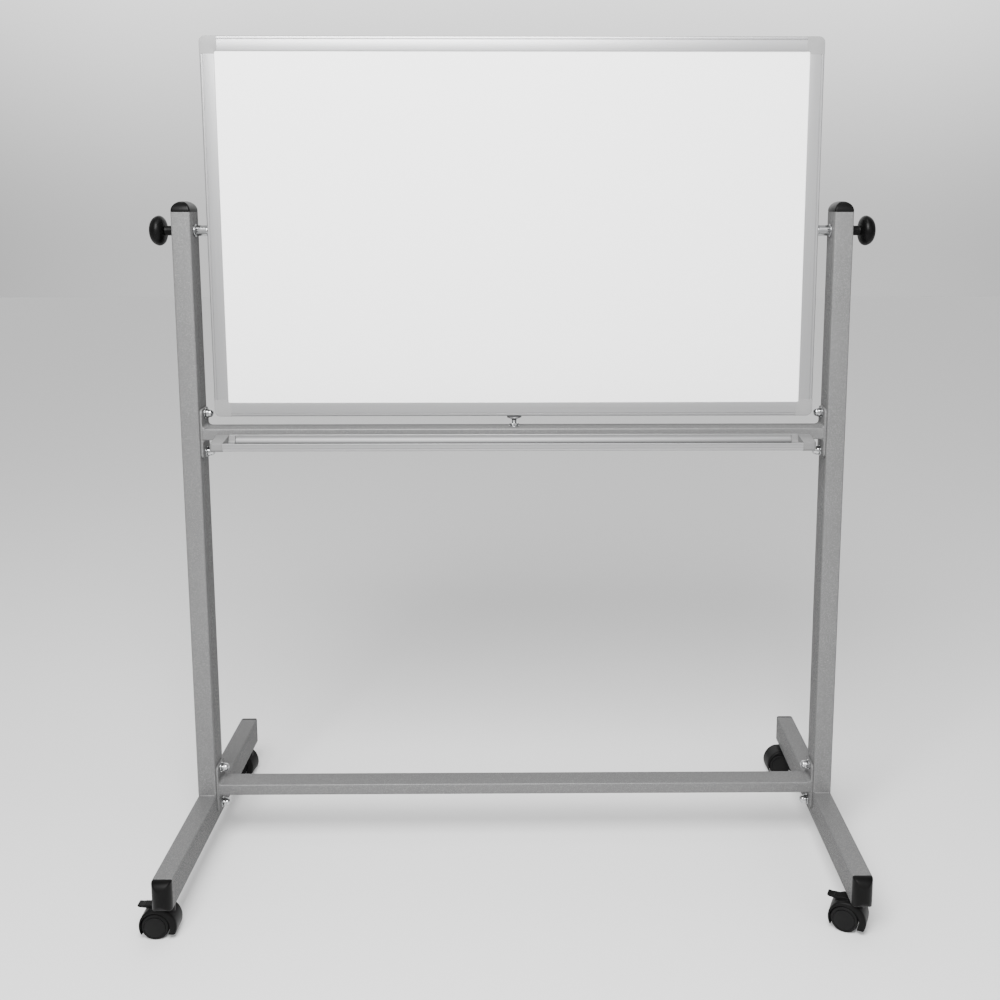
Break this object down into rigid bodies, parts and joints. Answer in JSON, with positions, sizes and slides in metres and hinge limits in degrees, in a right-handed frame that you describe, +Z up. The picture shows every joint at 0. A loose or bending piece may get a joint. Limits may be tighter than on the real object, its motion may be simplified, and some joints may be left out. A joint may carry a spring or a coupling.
{
  "type": "rolling whiteboard",
  "caption": "Double-sided dry-wipe board that flips in a wheeled steel stand, with clamp knobs, a marker tray, a height stop and braked twin-wheel casters.",
  "frame": {"origin": "on the floor, under the middle of the stand", "axes": "+X to the viewer's right along the board, +Y away from the viewer, +Z up"},
  "size_m": [1.4486, 0.698, 1.6983],
  "materials": {
    "powder_coated_steel": "fine metallic silver-grey powder coat, satin",
    "black_plastic": "black injection-moulded plastic, semi-gloss",
    "zinc_plated_steel": "bright zinc plate",
    "anodised_aluminium": "satin anodised extrusion",
    "grey_plastic": "light grey moulded plastic, fine matt texture",
    "white_enamelled_steel": "glossy white dry-wipe coating on steel sheet",
    "fibreboard": "unfinished fibreboard, hidden inside the frame",
    "brass": "turned brass",
    "stop_rubber": "thin black rubber disc",
    "caster_nylon": "black nylon, satin",
    "wheel_plastic": "black nylon wheel with a slightly rubbed tread"
  },
  "bodies": {
    "stand": {"left_post": "powder_coated_steel", "right_post": "powder_coated_steel", "left_foot": "powder_coated_steel", "right_foot": "powder_coated_steel", "post_caps": "black_plastic", "foot_end_caps": "black_plastic", "upper_crossbar": "powder_coated_steel", "lower_crossbar": "powder_coated_steel", "upper_flanges": "powder_coated_steel", "lower_flanges": "powder_coated_steel", "frame_bolts": "zinc_plated_steel", "frame_washers": "zinc_plated_steel", "frame_cap_nuts": "zinc_plated_steel", "caster_sockets": "zinc_plated_steel", "caster_stems": "zinc_plated_steel", "marker_tray": "anodised_aluminium", "tray_end_caps": "grey_plastic", "tray_screws": "zinc_plated_steel", "stop_weld_nut": "zinc_plated_steel", "stop_lock_nut": "zinc_plated_steel"},
    "board": {"front_writing_sheet": "white_enamelled_steel", "rear_writing_sheet": "white_enamelled_steel", "board_core": "fibreboard", "top_rail": "anodised_aluminium", "bottom_rail": "anodised_aluminium", "left_rail": "anodised_aluminium", "right_rail": "anodised_aluminium", "board_corners": "grey_plastic", "pivot_blocks": "anodised_aluminium", "pivot_studs": "zinc_plated_steel", "pivot_spacers": "zinc_plated_steel", "pivot_washers": "zinc_plated_steel"},
    "left_knob_bush": {"left_knob_insert": "brass"},
    "left_clamp_knob": {"left_knob": "black_plastic"},
    "right_knob_bush": {"right_knob_insert": "brass"},
    "right_clamp_knob": {"right_knob": "black_plastic"},
    "stop_cushion": {"stop_pad": "stop_rubber"},
    "stop_post": {"stop_screw": "zinc_plated_steel"},
    "front_left_swivel": {"front_left_caster_hood": "caster_nylon", "front_left_axle": "zinc_plated_steel", "front_left_lever_pin": "zinc_plated_steel"},
    "front_left_near_wheel": {"front_left_wheel_near": "wheel_plastic"},
    "front_left_far_wheel": {"front_left_wheel_far": "wheel_plastic"},
    "front_left_brake": {"front_left_brake_lever": "caster_nylon"},
    "front_right_swivel": {"front_right_caster_hood": "caster_nylon", "front_right_axle": "zinc_plated_steel", "front_right_lever_pin": "zinc_plated_steel"},
    "front_right_near_wheel": {"front_right_wheel_near": "wheel_plastic"},
    "front_right_far_wheel": {"front_right_wheel_far": "wheel_plastic"},
    "front_right_brake": {"front_right_brake_lever": "caster_nylon"},
    "rear_left_swivel": {"rear_left_caster_hood": "caster_nylon", "rear_left_axle": "zinc_plated_steel"},
    "rear_left_near_wheel": {"rear_left_wheel_near": "wheel_plastic"},
    "rear_left_far_wheel": {"rear_left_wheel_far": "wheel_plastic"},
    "rear_right_swivel": {"rear_right_caster_hood": "caster_nylon", "rear_right_axle": "zinc_plated_steel"},
    "rear_right_near_wheel": {"rear_right_wheel_near": "wheel_plastic"},
    "rear_right_far_wheel": {"rear_right_wheel_far": "wheel_plastic"}
  },
  "joints": [
    {"name": "board_flip", "type": "hinge", "parent": "stand", "child": "board", "pos_m": [0, 0, 1.322], "axis": [1, 0, 0], "continuous": true},
    {"name": "left_knob_advance", "type": "slide", "parent": "board", "child": "left_knob_bush", "axis": [-1, 0, 0], "range_m": [0, 0.0035]},
    {"name": "left_knob_turn", "type": "hinge", "parent": "left_knob_bush", "child": "left_clamp_knob", "pos_m": [-0.69, 0, 1.322], "axis": [-1, 0, 0], "range_deg": [0, 720]},
    {"name": "right_knob_advance", "type": "slide", "parent": "board", "child": "right_knob_bush", "axis": [1, 0, 0], "range_m": [0, 0.0035]},
    {"name": "right_knob_turn", "type": "hinge", "parent": "right_knob_bush", "child": "right_clamp_knob", "pos_m": [0.69, 0, 1.322], "axis": [1, 0, 0], "range_deg": [0, 720]},
    {"name": "stop_lift", "type": "slide", "parent": "stand", "child": "stop_cushion", "axis": [0, 0, 1], "range_m": [-0.003, 0]},
    {"name": "stop_turn", "type": "hinge", "parent": "stop_cushion", "child": "stop_post", "pos_m": [0, 0, 0.92], "axis": [0, 0, 1], "range_deg": [-720, 0]},
    {"name": "front_left_swivel_turn", "type": "hinge", "parent": "stand", "child": "front_left_swivel", "pos_m": [-0.656, -0.303, 0.06], "axis": [0, 0, 1], "continuous": true},
    {"name": "front_left_near_roll", "type": "hinge", "parent": "front_left_swivel", "child": "front_left_near_wheel", "pos_m": [-0.676, -0.303, 0.026], "axis": [0, 1, 0], "continuous": true},
    {"name": "front_left_far_roll", "type": "hinge", "parent": "front_left_swivel", "child": "front_left_far_wheel", "pos_m": [-0.676, -0.303, 0.026], "axis": [0, 1, 0], "continuous": true},
    {"name": "front_left_brake_press", "type": "hinge", "parent": "front_left_swivel", "child": "front_left_brake", "pos_m": [-0.673, -0.303, 0.06], "axis": [0, 1, 0], "range_deg": [-9, 0]},
    {"name": "front_right_swivel_turn", "type": "hinge", "parent": "stand", "child": "front_right_swivel", "pos_m": [0.656, -0.303, 0.06], "axis": [0, 0, 1], "continuous": true},
    {"name": "front_right_near_roll", "type": "hinge", "parent": "front_right_swivel", "child": "front_right_near_wheel", "pos_m": [0.63787, -0.29455, 0.026], "axis": [0.4226, 0.9063, 0], "continuous": true},
    {"name": "front_right_far_roll", "type": "hinge", "parent": "front_right_swivel", "child": "front_right_far_wheel", "pos_m": [0.63787, -0.29455, 0.026], "axis": [0.4226, 0.9063, 0], "continuous": true},
    {"name": "front_right_brake_press", "type": "hinge", "parent": "front_right_swivel", "child": "front_right_brake", "pos_m": [0.64059, -0.29582, 0.06], "axis": [0.4226, 0.9063, 0], "range_deg": [-9, 0]},
    {"name": "rear_left_swivel_turn", "type": "hinge", "parent": "stand", "child": "rear_left_swivel", "pos_m": [-0.656, 0.303, 0.06], "axis": [0, 0, 1], "continuous": true},
    {"name": "rear_left_near_roll", "type": "hinge", "parent": "rear_left_swivel", "child": "rear_left_near_wheel", "pos_m": [-0.67581, 0.30578, 0.026], "axis": [0.1392, 0.9903, 0], "continuous": true},
    {"name": "rear_left_far_roll", "type": "hinge", "parent": "rear_left_swivel", "child": "rear_left_far_wheel", "pos_m": [-0.67581, 0.30578, 0.026], "axis": [0.1392, 0.9903, 0], "continuous": true},
    {"name": "rear_right_swivel_turn", "type": "hinge", "parent": "stand", "child": "rear_right_swivel", "pos_m": [0.656, 0.303, 0.06], "axis": [0, 0, 1], "continuous": true},
    {"name": "rear_right_near_roll", "type": "hinge", "parent": "rear_right_swivel", "child": "rear_right_near_wheel", "pos_m": [0.63605, 0.3016, 0.026], "axis": [-0.0698, 0.9976, 0], "continuous": true},
    {"name": "rear_right_far_roll", "type": "hinge", "parent": "rear_right_swivel", "child": "rear_right_far_wheel", "pos_m": [0.63605, 0.3016, 0.026], "axis": [-0.0698, 0.9976, 0], "continuous": true}
  ],
  "couplings": [
    {"joint": "left_knob_advance", "follows": "left_knob_turn", "m_per_rad": 0.00027852},
    {"joint": "right_knob_advance", "follows": "right_knob_turn", "m_per_rad": 0.00027852},
    {"joint": "stop_lift", "follows": "stop_turn", "m_per_rad": 0.00023873}
  ]
}
